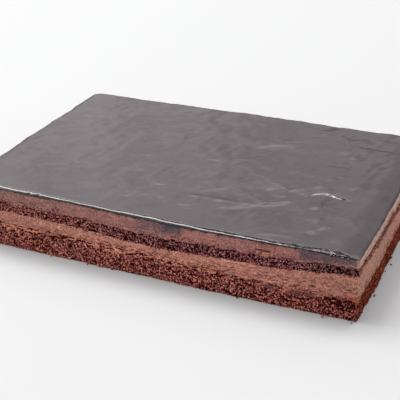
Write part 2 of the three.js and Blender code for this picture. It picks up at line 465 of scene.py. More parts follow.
def sponge_material(name, light, middle, dark, soaked, damp, wet=None):
    """Dark crumb: each grain has its tone, painted shade makes the holes nearly black, and syrup
    tints some of it.

    Fine noise adds specks and the painted shade of pinholes. Damp crumb, and crumb under painted
    shade, is darkened by a tint of its own, and crumb that is wet through has sunk together and
    has one even tone.
    """
    material, tree, shader = finish_of(name, roughness=0.9, specular=0.05)
    fine = grain_of(tree, 1500, 3.0)
    speck = steps(tree, fine, 0.35, 0.65, -0.8, 0.8)
    grain_tone = steps(tree, combine(tree, mark_of(tree, "tone"), speck), -1.0, 1.0)
    crumb = mix(tree, grain_tone, middle, light)
    crumb = mix(tree, mark_of(tree, "soak"), crumb, soaked)
    # Painted shade: pinholes from the fine noise, and the deep points of the hole shade mark, are
    # darkened towards the dark tone.
    pinholes = steps(tree, fine, 0.38, 0.46, 0.8, 0.0)
    deep = steps(tree, mark_of(tree, "hole"), 0.08, 0.6)
    colour = mix(tree, combine(tree, deep, pinholes, "MAXIMUM"), crumb, dark)
    # This mark is painted shade on the cut walls and on the crumbs standing on them, and damp on
    # fallen crumbs.
    colour = mix(tree, mark_of(tree, "damp"), colour, mix(tree, 1.0, colour, damp, "MULTIPLY"))
    if wet:
        colour = mix(tree, combine(tree, mark_of(tree, "wet"), 0.85, "MULTIPLY"), colour, wet)
    tree.links.new(colour, shader.inputs["Base Color"])
    bump(tree, shader, fine, 0.5)
    return material


STATIONS = (0, 0.55, 0.8, 0.97, 1.03, 1.5, 2.0, 3.0, 4.0)  # turns, two of them close to a corner


def round_cake(*levels):
    """A value for each column that runs through the levels given at the stations round the cake."""
    return np.interp(COLUMNS, STATIONS, levels)


def dress(piece, material, slot, *nodes):
    """Gives a piece its material, and sets it on the cake in place of the named layers. Its slot is
    not used.
    """
    piece.data.materials.append(material)
    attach(piece, "root")
    if nodes:
        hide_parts(*nodes)


lower_heights = wall_rows(
    np.zeros_like(TRAVEL), cut_seam("sponge_cream", EDGE, TRAVEL), LOWER_SPONGE_ROWS
)
lower_stand, lower_hole, lower_tone = torn_crumb(TRAVEL, lower_heights, LOWER_CRUMB_SEED)
below_cream = lower_heights[-1] - lower_heights

# Syrup has run out under the cream, in patches and furthest at the left. It fills the pores, so
# they get less painted shade, and the knife has drawn the soaked crumb into long flat cracks,
# which get painted shade.
SOAK_DEPTH, CRACK_DEPTH = 4.7, 5.0  # millimetres below the cream for each unit of reach
soak_reach = round_cake(1.55, 1.2, 1.05, 0.9, 0.6, 0.6, 1, 1.2, 1.55)
least_soak = round_cake(0.3, 0.02, 0, 0, 0, 0, 0, 0, 0.3)
lower_soak = np.clip(soak_reach - below_cream / SOAK_DEPTH, least_soak, 1)
lower_soak = np.clip(lower_soak * (1 + swells(TRAVEL, lower_heights, 6, 3, 130)), 0, 1)
wandering = lower_heights + 0.8 * swells(TRAVEL, 0 * lower_heights, 9, 9, 140)
cracks = bowls(TRAVEL, wandering, cell=3, filled=0.8, small=0.35, large=0.8, flat=4, seed=141)
cracks *= np.clip(soak_reach - below_cream / CRACK_DEPTH, 0, 1)
lower_hole = np.maximum(lower_hole * (1 - 0.7 * lower_soak), np.clip(1.8 * cracks, 0, 1))
lower_stand -= 0.6 * cracks


def front_patch(heights, x, z, long, tall, seed):
    """A ragged oval patch on the front cut, 1 inside and 0 outside.

    `x` and `z` are its middle, `long` and `tall` its half sizes, and swells shift its outline.
    """
    inside = ((EDGE[:, 0] - x) / long) ** 2 + ((heights - z) / tall) ** 2
    ragged = inside + 0.5 * swells(TRAVEL, heights, 2.2, 1.6, seed)
    return np.clip(2 - 2 * ragged, 0, 1) * (COLUMNS < 1)


# Near the right end of the front three patches are wet through. At its corner the crumb is torn
# out deeper under the cream, with painted shade in the hollow. Each patch has its middle, half
# sizes and seed.
WET_PATCHES = ((91.5, 13.2, 5, 2, 151), (106.5, 13, 4.5, 2.4, 152), (118, 14, 4.5, 1.9, 153))
TORN_OUT = (138, 11.5, 13, 3.8, 154)
lower_wet = np.clip(sum(front_patch(lower_heights, *patch) for patch in WET_PATCHES), 0, 1)
torn_out = front_patch(lower_heights, *TORN_OUT)
lower_stand = lower_stand * (1 - 0.7 * lower_wet) - 0.3 * lower_wet - 0.8 * torn_out
# The wet patches lose the painted shade of their pores, and the torn-out hollow gets more of it.
lower_hole = np.clip(lower_hole * (1 - 0.8 * lower_wet) + 0.3 * torn_out, 0, 1)

# Painted shade darkens the crumb round the right corner and the back, and a little along its foot at
# the left.
damp_foot = round_cake(0.3, 0.12, 0, 0, 0, 0, 0, 0, 0.3) * np.clip(below_cream / 6 - 0.5, 0, 1)
lower_damp = round_cake(0, 0, 0.2, 0.35, 1, 1, 0.6, 0.3, 0) + damp_foot
lower_sponge = layer_skin(
    "lower_sponge_crumb",
    low=None,
    high="sponge_cream",
    heights=lower_heights,
    stand_out=lower_stand,
    marks=dict(hole=lower_hole, tone=lower_tone, soak=lower_soak, damp=lower_damp, wet=lower_wet),
)
LOWER_CRUMB = sponge_material(
    "soaked_lower_crumb",
    light=tone(207, 144, 133),
    middle=tone(122, 35, 28),
    # The dark tone is the painted shade of holes, gaps and cracks.
    dark=tone(48, 3, 2),
    soaked=tone(212, 140, 112),
    damp=(0.42, 0.24, 0.14, 1.0),
    wet=tone(74, 47, 51),
)
dress(lower_sponge, LOWER_CRUMB, "sponge", "lower_sponge")


# ---- The lower cream -------------------------------------------------------------------------
# Chocolate cream spread over the soaked sponge, thin at the left and thick at the right front
# corner. The knife drags it sideways and down, and pulls crumbs of sponge over its lower edge.

LOWER_CREAM_ROWS = 34


def dragged_cream(travel, height, seed):
    """How far a cream's cut stands out, in millimetres.

    Long low swells lie along the cut, shorter ridges stand upright where the knife came down, and
    a few air bubbles are opened.
    """
    lying = 0.22 * swells(travel, height, 16, 5, seed)
    lying += 0.12 * swells(travel, height, 5, 1.4, seed + 1)
    upright = 0.08 * swells(travel, height, 1.4, 7, seed + 2)
    grain = 0.07 * swells(travel, height, 1.0, 0.8, seed + 3)
    bubbles = bowls(
        travel, height, cell=6.5, filled=0.35, small=0.25, large=0.8, flat=1.3, seed=seed + 4
    )
    return lying + upright + grain - 0.45 * bubbles


def stray_crumbs(travel, height, low, high, strewn, seed):
    """Where crumbs of sponge cover a cream, from 0 to 1.

    They are dense at its two seams, rare between them, and more common where `strewn` is high.
    Thin dark streaks lie along the lower seam.
    """
    spots = bowls(
        travel + 0.5 * swells(travel, height, 1.6, 1.4, seed),
        height + 0.5 * swells(travel, height, 1.5, 1.2, seed + 1),
        cell=1.9, filled=0.8, small=0.3, large=0.9, flat=1.4, seed=seed + 2,
    )
    near_low = np.clip(1 - (height - low) / 4.5, 0, 1)
    near_high = np.clip(1 - (high - height) / 1.5, 0, 1)
    patch = 0.5 + 0.8 * swells(travel, height, 11, 5, seed + 3)
    at_seams = np.maximum(0.7 * near_low, 0.6 * near_high) * np.clip(patch, 0, 1.2)
    crowd = at_seams + 0.1 + strewn * patch
    wandering = height + swells(travel, 0 * height, 9, 9, seed + 4)
    streaks = bowls(
        travel, wandering, cell=3, filled=0.6, small=0.25, large=0.5, flat=5, seed=seed + 5
    )
    streaked = np.clip(1 - (height - low) / 5, 0, 1) * (streaks > 0.2)
    return np.maximum(np.clip((spots - (1 - crowd)) * 6, 0, 1), streaked)


def cream_material(name, light, dark, **covers):
    """Matt chocolate cream in two tones, with a further tone wherever each of its marks is set.

    Fine specks and small lying clouds darken and lighten all of it. A film of glaze is glossier.
    """
    material, tree, shader = finish_of(name, roughness=0.55, specular=0.22)
    clouds = steps(tree, grain_of(tree, 130, 4.0, (1, 1, 2.2)), 0.3, 0.7)
    colour = mix(tree, clouds, dark, light)
    for mark, cover in covers.items():
        colour = mix(tree, mark_of(tree, mark), colour, cover)
    fine = grain_of(tree, 1400, 3.0, (0.8, 0.8, 1.1))
    speck = steps(tree, fine, 0.3, 0.7, 0.3, 1.7)
    mottle = steps(tree, grain_of(tree, 420, 2.0, (0.7, 0.7, 1.3)), 0.35, 0.65, 0.86, 1.14)
    speck = combine(tree, speck, mottle, "MULTIPLY")
    grey = add_node(tree, "ShaderNodeCombineColor", Red=speck, Green=speck, Blue=speck)
    colour = mix(tree, 1.0, colour, grey.outputs[0], "MULTIPLY")
    tree.links.new(colour, shader.inputs["Base Color"])
    roughness = steps(tree, mark_of(tree, "film"), 0.0, 1.0, 0.55, 0.35)
    tree.links.new(roughness, shader.inputs["Roughness"])
    bump(tree, shader, fine, 0.2)
    return material


def cream_layer(name, low, high, rows, strewn, seed, marks):
    """A cream's skin between two seams, with its crumbs standing a little proud.

    `marks` is the function that gives its further marks from the heights of the wall's points.
    """
    low_edge, high_edge = cut_seam(low, EDGE, TRAVEL), cut_seam(high, EDGE, TRAVEL)
    heights = wall_rows(low_edge, high_edge, rows)
    crumbs = stray_crumbs(TRAVEL, heights, low_edge, high_edge, strewn, seed + 10)
    stand = dragged_cream(TRAVEL, heights, seed) + 0.3 * crumbs
    return layer_skin(name, low, high, heights, stand, {"crumb": crumbs, **marks(heights)})


def lower_cream_marks(heights):
    """Painted shade at both ends of the front, pale wiped cream with painted sheen on the right side,
    and the painted shade of fine scores.

    The scores of the knife lie along the front, most of them low down and towards the right, and
    their darkness is painted shade. A smear of wet crumb, drawn up by the knife, colours the
    cream's foot at the right corner.
    """
    patchy = 1 + 0.4 * swells(TRAVEL, heights, 14, 5, 240)
    pale = round_cake(0, 0, 0, 0, 0.5, 0.35, 0, 0, 0) * patchy
    shade = round_cake(0.65, 0.05, 0.3, 0.65, 0.45, 0.5, 0, 0.3, 0.65) * patchy
    wavy = heights + 1.8 * swells(TRAVEL, 0 * heights, 7, 9, 241)
    near_foot = np.clip(1.3 - (heights - heights[0]) / 10, 0.15, 1)
    scored = bowls(TRAVEL, wavy, cell=3, filled=0.55, small=0.3, large=0.58, flat=4.5, seed=242)
    scored = 2.6 * near_foot * scored * round_cake(0.1, 0.25, 0.8, 1, 0.7, 0.2, 0, 0, 0.1)
    smear = 0.9 * front_patch(heights, x=146, z=18, long=6, tall=2, seed=243)
    return dict(shade=shade, pale=pale, score=np.clip(scored, 0, 1), smear=smear)


lower_strewn = round_cake(0, 0.02, 0.06, 0.1, 0.1, 0.05, 0, 0, 0)
lower_cream = cream_layer(
    "lower_cream_cut",
    low="sponge_cream",
    high="cream_sponge",
    rows=LOWER_CREAM_ROWS,
    strewn=lower_strewn,
    seed=200,
    marks=lower_cream_marks,
)
LOWER_CREAM = cream_material(
    "lower_chocolate_cream",
    light=tone(169, 116, 98),
    dark=tone(147, 94, 79),
    shade=tone(127, 86, 73),
    # pale: wiped cream and painted sheen; score: painted shade of the knife's scores.
    pale=tone(148, 112, 89),
    score=tone(84, 26, 16),
    smear=tone(146, 72, 48),
    crumb=tone(84, 34, 26),
)
dress(lower_cream, LOWER_CREAM, "cream", "lower_cream")


# ---- The upper sponge ------------------------------------------------------------------------
# A thinner sheet of the same sponge, pressed a little, so its crumb is closer and darker.

UPPER_SPONGE_ROWS = 22
UPPER_CRUMB_SEED = 300
upper_heights = wall_rows(
    cut_seam("cream_sponge", EDGE, TRAVEL),
    cut_seam("sponge_top_cream", EDGE, TRAVEL),
    UPPER_SPONGE_ROWS,
)
upper_stand, upper_hole, upper_tone = torn_crumb(TRAVEL, upper_heights, UPPER_CRUMB_SEED)
# Painted shade darkens the crumb from the middle of the front to the right corner and along the right
# side, and less towards the back.
upper_damp = round_cake(0, 0.3, 0.2, 1, 0.85, 0.7, 0.4, 0.1, 0)
upper_soak = round_cake(0.6, 0, 0, 0, 0.6, 0.6, 0.2, 0.3, 0.6)
upper_sponge = layer_skin(
    "upper_sponge_crumb",
    low="cream_sponge",
    high="sponge_top_cream",
    heights=upper_heights,
    stand_out=upper_stand,
    marks=dict(hole=upper_hole, tone=upper_tone, soak=upper_soak, damp=upper_damp),
)
UPPER_CRUMB = sponge_material(
    "upper_crumb",
    light=tone(180, 126, 127),
    middle=tone(106, 32, 34),
    # The dark tone is the painted shade of holes and gaps.
    dark=tone(42, 4, 4),
    soaked=tone(190, 114, 86),
    damp=(0.54, 0.68, 0.66, 1.0),
)
dress(upper_sponge, UPPER_CRUMB, "sponge", "upper_sponge")


# ---- The upper cream -------------------------------------------------------------------------
# The second layer of chocolate cream. In two places on the front the knife has pulled a thin film
# of glaze down over it, darker and a little glossier than the cream, and in one it tore the cream.

UPPER_CREAM_ROWS = 20
FILMS = (  # left and right end, lowest height, width of the soft left end, strength
    (-12.0, 29.0, 36.0, 12.0, 0.82),
    (109.0, 149.0, 38.0, 3.0, 0.88),
)
FILM_RIGHT_END, FILM_FOOT = 1.5, 4.0  # widths over which a film thins out there
# The tear's slit has no depth of its own and is painted dark as shade.
TEAR = (87, 40.6, 6, 1.1, 414)  # middle, half sizes and seed


def upper_cream_marks(heights):
    """How much painted shade, pale wiped cream with painted sheen, film, smear of the glaze's foot
    with painted shade under the rim, and painted shade of the tear cover each point.

    A film is full in its middle and thins out to both ends and its foot. The smear is a dark line
    of up to a millimetre along the glaze, with a ragged lower edge: partly glaze, partly painted
    shade under the rim. The tear is a short slit that the knife has dragged open near the right end
    of the front, painted dark as shade.
    """
    film = np.zeros_like(heights)
    on_front = COLUMNS < 1
    x = EDGE[:, 0]
    for left, right, lowest, soft, strong in FILMS:
        from_left = np.clip((x - left) / soft, 0, 1)
        from_right = np.clip((right - x) / FILM_RIGHT_END, 0, 1)
        ragged_foot = lowest + 1.5 * swells(TRAVEL, 0 * heights, 5, 9, 410)
        from_foot = np.clip((heights - ragged_foot) / FILM_FOOT, 0, 1)
        patchy = strong + 0.3 * swells(TRAVEL, heights, 6, 5, 411)
        film = np.maximum(film, from_left * from_right * on_front * from_foot * patchy)
    level = np.zeros_like(TRAVEL)
    reach = 0.5 + 0.3 * swells(TRAVEL, level, 6, 9, 412) + 0.3 * swells(TRAVEL, level, 1.8, 9, 413)
    return dict(
        shade=round_cake(0.8, 0, 0, 0, 0, 0, 0, 0.3, 0.8),
        pale=round_cake(0, 0, 0, 0, 0.9, 0.8, 0.2, 0, 0),
        film=np.clip(film, 0, 1),
        smear=np.clip(1 - (heights[-1] - heights - reach) / 0.3, 0, 1),
        tear=front_patch(heights, *TEAR),
    )


upper_strewn = round_cake(0.12, 0.03, 0.02, 0.02, 0.02, 0.02, 0.02, 0.02, 0.12)
upper_cream = cream_layer(
    "upper_cream_cut",
    low="sponge_top_cream",
    high="cream_glaze",
    rows=UPPER_CREAM_ROWS,
    strewn=upper_strewn,
    seed=400,
    marks=upper_cream_marks,
)
UPPER_CREAM = cream_material(
    "upper_chocolate_cream",
    light=tone(140, 94, 86),
    dark=tone(118, 76, 69),
    shade=tone(108, 80, 71),
    # pale: wiped cream and painted sheen; smear: glaze and painted shade under the rim; tear: painted
    # shade.
    pale=tone(164, 136, 121),
    film=tone(62, 54, 61),
    crumb=tone(70, 28, 26),
    smear=tone(22, 16, 22),
    tear=tone(56, 22, 20),
)
dress(upper_cream, UPPER_CREAM, "cream", "upper_cream")


# ---- The glaze -------------------------------------------------------------------------------
# A dark chocolate mirror glaze, poured warm and pushed over the top with a palette knife. It is
# two to three millimetres thick, with a rounded rim and the low swells and creases of the knife.

GLAZE_LONG, GLAZE_SHORT = 330, 210  # cells of the top along each side
RIM_STEPS = 16
RIM_TURNS = (0, 0.2, 0.32, 0.5, 0.62, 0.78, 0.87, 1, 1.1, 1.5, 2.5, 3.1, 3.9, 4)
# At these turns: from the crest out to the cut, the belly's share of the height, and flatness.
RIM_REACH = (2.6, 2.6, 2.4, 2.6, 3, 3.2, 3.7, 3.5, 2.6, 2.4, 2.6, 3.6, 3.6, 2.6)
RIM_BELLY = (0.2, 0.26, 0.4, 0.46, 0.52, 0.56, 0.6, 0.6, 0.42, 0.42, 0.42, 0.6, 0.6, 0.2)
RIM_FLAT = (1, 1, 1, 1.15, 1.2, 1.3, 1.8, 1.85, 1.3, 1.2, 1.2, 1.6, 1.6, 1)
RIM_TUCK = 0.4  # how far the foot lies in from the belly
FRONT_NICKS = (57.5, 65.0)  # millimetres from the front left corner
RIPPLES = (  # half lengths along and across, lean in degrees, rise, seed
    (20, 12, 8, 0.24, 520),
    (8, 3.5, 32, 0.14, 521),
    (5.0, 2.8, -50, 0.08, 522),
    (9, 2.6, 78, 0.1, 524),
    (2.6, 1.3, 50, 0.05, 523),
)
CREASES = (  # points with the low side on the right; drop, ridge, width and length of recovery
    (((0, -58.5), (25, -57), (46, -56), (62, -54)), 0.0, 0.36, 1.5, 6),
    (((62, -55), (71, -50.5), (80, -45), (91, -38)), 0.04, 0.28, 2.2, 6),
    (((93, -30), (97, -24), (103, -21.5), (110, -22), (115, -24), (120, -25)), 0.86, 0.0, 0.58, 8),
    (((120, -29), (122, -35), (120, -42), (116, -48)), 0.16, 0.1, 1.0, 4),
    (((77, -24), (71, -36), (66, -46)), 0.7, 0.0, 2.4, 24),
    (((-18, -51), (-9, -49), (-3, -44)), 0.2, 0.26, 1.3, 3),
    (((-62, -30), (-60, -22), (-57, -14)), 0.24, 0.25, 1.3, 4),
    (((-36, -4), (-33, 10), (-28, 22), (-31, 36)), 0.2, 0.25, 1.4, 5),
    (((-20, -48), (-21, -34), (-17, -18)), 0.18, 0.22, 1.4, 5),
    (((138, 60), (118, 60.5), (98, 62)), 0.55, 0.0, 1.6, 6),
    (((94, 32), (104, 38), (116, 44)), 0.1, 0.17, 1.5, 8),
    (((114, 22), (103, 23), (91, 22)), 0.45, 0.0, 1.5, 5),
    (((121, 20), (125, 34), (131, 46)), 0.2, 0.26, 1.5, 6),
    (((42, 84), (58, 82), (76, 80)), 0.1, 0.22, 1.5, 6),
    (((22, 76), (6, 69), (-12, 61)), 0.5, 0.0, 1.6, 6),
    (((26, 81), (12, 84), (0, 88)), 0.45, 0.0, 1.6, 5),
    (((48, 51), (60, 56), (76, 64)), 0.05, 0.22, 1.2, 4),
    (((56, 58), (66, 63), (78, 70)), 0.05, 0.22, 1.2, 4),
    (((60, 68), (70, 74), (78, 80)), 0.05, 0.24, 1.3, 4),
    (((80, -91), (90, -88), (102, -87)), 0.1, 0.2, 1.6, 6),
    (((56, -64), (48, -72), (44, -84)), 0.3, 0.0, 2.0, 20),
    (((4, 0), (14, 3), (20, 8)), 0.05, 0.16, 1.2, 4),
    (((24, 6), (34, 12), (38, 20)), 0.05, 0.16, 1.2, 5),
    (((30, 34), (40, 42), (54, 48)), 0.0, 0.14, 1.3, 5),
    (((84, 76), (90, 70), (92, 62)), 0.1, 0.2, 1.4, 5),
)
DENTS = (  # x, y, half sizes and depth, which is negative for a rise
    (112.5, -79, 4.2, 3.4, 0.4),
    (108, -31, 12, 7.5, 0.45),
    (104, -58, 12, 7.5, -0.6),
    (86, -52, 9, 6, 0.35),
)
CALM_MARGIN = 38.0  # the ripples grow over this distance from the front and right rims
DROOP, DROOP_REACH = 0.9, 8.0  # how far the right rim sinks, and over what distance


def crowded(count, middle, spread):
    """Shares from 0 to 1 in `count` steps that are less than half as long round `middle`.

    The steps' density is 1 plus a bell curve of height 1.3, summed and read backwards.
    """
    share = np.linspace(0, 1, 2001)
    total = np.cumsum(1 + 1.3 * np.exp(-(((share - middle) / spread) ** 2)))
    return np.interp(np.linspace(total[0], total[-1], count + 1), total, share)


def ripples(x, y, long, short, lean, seed):
    """Random ripples with a standard deviation of 1, at each place of the plan.

    White noise on a lattice of one millimetre, a little larger than the cake, is blurred by a
    Gaussian of `long` millimetres along a line that leans by `lean` degrees, and `short` across it,
    which is a product in the noise's Fourier transform. Between lattice points it is bilinear.
    """
    rows, columns = round(DEPTH) + 8, round(LENGTH) + 8
    noise = np.random.default_rng(seed).normal(size=(rows, columns))
    up, right = np.fft.fftfreq(rows)[:, None], np.fft.rfftfreq(columns)
    cos, sin = math.cos(math.radians(lean)), math.sin(math.radians(lean))
    along, across = right * cos + up * sin, up * cos - right * sin
    keep = np.exp(-2 * (np.pi**2) * ((along * long) ** 2 + (across * short) ** 2))
    field = np.fft.irfft2(np.fft.rfft2(noise) * keep, noise.shape)
    u, v = x + columns / 2, y + rows / 2
    i, j = np.floor(u).astype(int), np.floor(v).astype(int)
    f, g = u - i, v - j
    below = field[j, i] * (1 - f) + field[j, i + 1] * f
    above = field[j + 1, i] * (1 - f) + field[j + 1, i + 1] * f
    return (below * (1 - g) + above * g) / field.std()


def fold_line(points):
    """Points about a millimetre apart on a Catmull-Rom curve, and the direction at each."""
    knots = np.array([points[0], *points, points[-1]], float)
    length = np.linalg.norm(np.diff(knots, axis=0), axis=1).sum()
    reach = np.linspace(0, len(points) - 1 - 1e-6, int(length) + 2)
    line = through_knots(knots, reach.astype(int), (reach % 1)[:, None])
    ahead = np.gradient(line, axis=0)
    return line, ahead / np.linalg.norm(ahead, axis=1)[:, None]


def glaze_height(plan):
    """Height of the glaze over a grid of places: its seam curve, ripples, creases and dents.

    The ripples sink to under a third towards the front and right rims and to under a half towards
    the left, and the right rim droops along a bell curve.

    Across a crease the glaze rises by a bell-shaped ridge and drops by a hyperbolic tangent step,
    then climbs back over the length of its recovery by exponential decay; along it both die away to
    the two ends. A dent is a bell-shaped bowl.
    """
    x, y = plan[..., 0], plan[..., 1]
    height = seam_height("glaze_top", x, y)
    from_rim = np.minimum(y + DEPTH / 2, LENGTH / 2 - x)
    lively = 0.3 + 0.7 * eased(np.clip(from_rim / CALM_MARGIN, 0, 1))
    lively = lively * np.clip(0.85 + x / LENGTH, 0.45, 1)
    for long, short, lean, rise, seed in RIPPLES:
        height = height + lively * rise * ripples(x, y, long, short, lean, seed)
    height = height - DROOP * np.exp(-(((LENGTH / 2 - x) / DROOP_REACH) ** 2))
    for points, drop, ridge, width, recovery in CREASES:
        line, ahead = fold_line(points)
        low, high = line.min(axis=0) - 4 * recovery, line.max(axis=0) + 4 * recovery
        window = (x > low[0]) & (x < high[0]) & (y > low[1]) & (y < high[1])
        apart = plan[window][:, None, :] - line
        nearest = (apart**2).sum(axis=-1).argmin(axis=1)
        apart = apart[np.arange(len(nearest)), nearest]
        ahead = ahead[nearest]
        front = apart[:, 0] * ahead[:, 1] - apart[:, 1] * ahead[:, 0]
        beyond = (apart[:, 0] * ahead[:, 0] + apart[:, 1] * ahead[:, 1]) / recovery * 2
        fade = np.sin(np.pi * (nearest + 0.5) / len(line)) ** 0.4 * np.exp(-(beyond**2))
        step = (0.5 + 0.5 * np.tanh(front / width)) * np.exp(-np.maximum(front, 0) / recovery)
        rise = np.exp(-(((front + width) / width / 1.5) ** 2))
        height[window] += fade * (ridge * rise - drop * step)
    for cx, cy, rx, ry, deep in DENTS:
        height = height - deep * np.exp(-(((x - cx) / rx) ** 2) - ((y - cy) / ry) ** 2)
    return height


def coons(ring, u, v):
    """Fills a closed ring of points with a grid, at the shares u across it and v from the front.

    Each inner point is the blend between the facing points of opposite sides, in both directions,
    less the blend of the four corners.
    """
    across, deep = len(u) - 1, len(v) - 1
    front = ring[: across + 1]
    right = ring[across : across + deep + 1]
    back = ring[across + deep : 2 * across + deep + 1][::-1]
    left = np.concatenate([ring[2 * across + deep :], ring[:1]])[::-1]
    u, v = u[None, :, None], v[:, None, None]
    sides = (1 - v) * front + v * back + (1 - u) * left[:, None] + u * right[:, None]
    front_corners = (1 - u) * front[0] + u * front[-1]
    back_corners = (1 - u) * back[0] + u * back[-1]
    return sides - ((1 - v) * front_corners + v * back_corners)


def around(grid):
    """The values on a grid's border, walked round from its first corner."""
    return np.concatenate([grid[0, :-1], grid[:-1, -1], grid[-1, :0:-1], grid[:0:-1, 0]])


def inset(place, inward):
    """Places of the outline drawn in on both axes at once, so that the corners never fold over."""
    half = np.array([LENGTH, DEPTH]) / 2
    return place * (1 - np.asarray(inward)[..., None] / half)


def glaze_skin():
    """The closed skin of the glaze: underside, rounded rim and a fine grid over the top.

    From the crest the rim bends over to its belly in a quarter ellipse, whose sine and cosine are
    raised to its flatness, so that 1 is round and above it nears a straight slope. Below the belly
    it tucks in to a foot that hangs a little over the cream. Swells, small random hollows and two
    bell-shaped nicks move it. The grid's cells crowd where the sharpest fold of the top lies.
    """
    across, deep = crowded(GLAZE_LONG, 0.85, 0.09), crowded(GLAZE_SHORT, 0.32, 0.13)
    sides = (across, deep, 1 - across[::-1], 1 - deep[::-1])
    turn = np.concatenate([k + side[:-1] for k, side in enumerate(sides)])
    edge, outward = outline(turn)
    travel = travel_of(turn)
    level = np.zeros_like(travel)
    reach, belly_share, flat = (
        np.interp(turn, RIM_TURNS, levels) for levels in (RIM_REACH, RIM_BELLY, RIM_FLAT)
    )
    reach *= 1 + 0.08 * swells(travel, level, 13, 9, 509) + 0.12 * swells(travel, level, 4, 9, 508)
    plan = coons(inset(edge, reach), across, deep)
    top_height = glaze_height(plan)
    crest = around(top_height)
    hang = 0.25 + 0.2 * swells(travel, level, 7, 9, 513) + 0.2 * swells(travel, level, 2.2, 9, 514)
    foot = cut_seam("cream_glaze", edge, travel) - hang
    nicks = bowls(travel, level, cell=8, filled=0.35, small=0.5, large=1.6, flat=1.4, seed=510)
    nicks += sum(1.6 * np.exp(-(((travel - place) / 1.1) ** 2)) for place in FRONT_NICKS)
    bulge = 0.25 + 0.15 * swells(travel, level, 9, 9, 511) + 0.12 * swells(travel, level, 3, 9, 512)

    rings = []
    for share in SHARES_INSIDE[::-1]:
        inner = edge * share
        rings.append(np.column_stack([inner, seam_height("cream_glaze", inner[:, 0], inner[:, 1])]))
    belly = foot + belly_share * (crest - foot)
    for angle in np.linspace(-0.5 * np.pi, 0.5 * np.pi, RIM_STEPS + 1)[:-1]:
        below = angle < 0
        inward = (RIM_TUCK if below else reach) * (1 - np.cos(angle) ** flat)
        drop = (foot - belly) * abs(np.sin(angle))
        height = belly + (drop if below else (crest - belly) * np.sin(angle) ** flat)
        stand = (bulge - 0.5 * nicks) * np.cos(angle)
        rings.append(np.column_stack([inset(edge, inward) + outward * stand[:, None], height]))
    rings.append(np.column_stack([around(plan), crest]))
    rings = np.stack(rings)

    index, wall = ring_grid(*rings.shape[:2])
    inside = np.concatenate([plan, top_height[..., None]], axis=-1)[1:-1, 1:-1].reshape(-1, 3)
    grid = np.zeros(top_height.shape, int)
    grid[1:-1, 1:-1] = index.size + np.arange(len(inside)).reshape(GLAZE_SHORT - 1, -1)
    grid.flat[around(np.arange(grid.size).reshape(grid.shape))] = index[-1]
    top = np.stack([grid[:-1, :-1], grid[:-1, 1:], grid[1:, 1:], grid[1:, :-1]], axis=-1)

    pole = [[0, 0, seam_height("cream_glaze", *CENTRE)]]
    points = np.concatenate([rings.reshape(-1, 3), inside, pole])
    low_fan = fan(len(points) - 1, index[0])
    return mesh_object("glaze_mirror", points, [wall, top.reshape(-1, 4), low_fan])


def glaze_material():
    """Nearly black brown under a smooth gloss that faint flow lines and specks disturb."""
    material, tree, shader = finish_of("mirror_glaze", roughness=0.1, specular=0.5)
    tint = mix(
        tree, steps(tree, grain_of(tree, 40, 3.0), 0.4, 0.6), tone(30, 21, 23), tone(24, 16, 18)
    )
    tree.links.new(tint, shader.inputs["Base Color"])
    roughness = steps(tree, grain_of(tree, 60, 3.0), 0.35, 0.65, 0.07, 0.13)
    tree.links.new(roughness, shader.inputs["Roughness"])
    bump(tree, shader, grain_of(tree, 70, 6.0, (1, 1.6, 1)), 0.24)
    return material


glaze = glaze_skin()
GLAZE = glaze_material()
dress(glaze, GLAZE, "glaze", "glaze")


# ---- Loose crumbs ----------------------------------------------------------------------------
# Crumbs that the knife tore off: most stand half free on the cuts of the sponges, a flake of cream
# sticks to the upper cream, and a few have dropped to the foot of the cake.


def crumb_lumps(name, places, sizes, seed, **marks):
    """Irregular lumps of crumb as one mesh, with values kept for each lump.

    A lump is a ball of 20 points: three rings of six between two poles. Each is stretched along its
    axes, turned at random, and has every point moved in or out by up to a quarter.
    """
    draw = np.random.default_rng(seed)
    north = np.repeat(np.radians([-45, 0, 45]), 6)
    east = np.radians(np.arange(18) * 60 + np.repeat([0, 30, 0], 6))
    ring_out = np.cos(north)
    rings = np.column_stack([ring_out * np.cos(east), ring_out * np.sin(east), np.sin(north)])
    ball = np.concatenate([rings, [[0, 0, -1], [0, 0, 1]]])
    index, quads = ring_grid(3, 6)
    caps = np.concatenate([fan(18, index[0]), fan(19, index[2])[:, ::-1]])
    count, each = len(places), len(ball)
    spin, _ = np.linalg.qr(draw.normal(size=(count, 3, 3)))
    spin[:, :, 0] *= np.sign(np.linalg.det(spin))[:, None]
    stretch = draw.uniform(0.7, 1.3, (count, 1, 3))
    uneven = draw.uniform(0.75, 1.25, (count, each, 1))
    points = (ball * stretch * uneven * sizes[:, None, None]) @ spin + places[:, None]
    first = (np.arange(count) * each)[:, None, None]
    groups = [(quads + first).reshape(-1, 4), (caps + first).reshape(-1, 3)]
    lumps = mesh_object(name, points.reshape(-1, 3), groups)
    for mark, values in marks.items():
        keep_mark(lumps, mark, np.repeat(values, each))
    return lumps


def on_cut(travel):
    """Place and outward direction after walking some millimetres round the cake."""
    return outline(np.interp(travel, CORNERS, range(5)))


FOOT_CRUMB = 0.6  # the lowest crumbs sit at this height


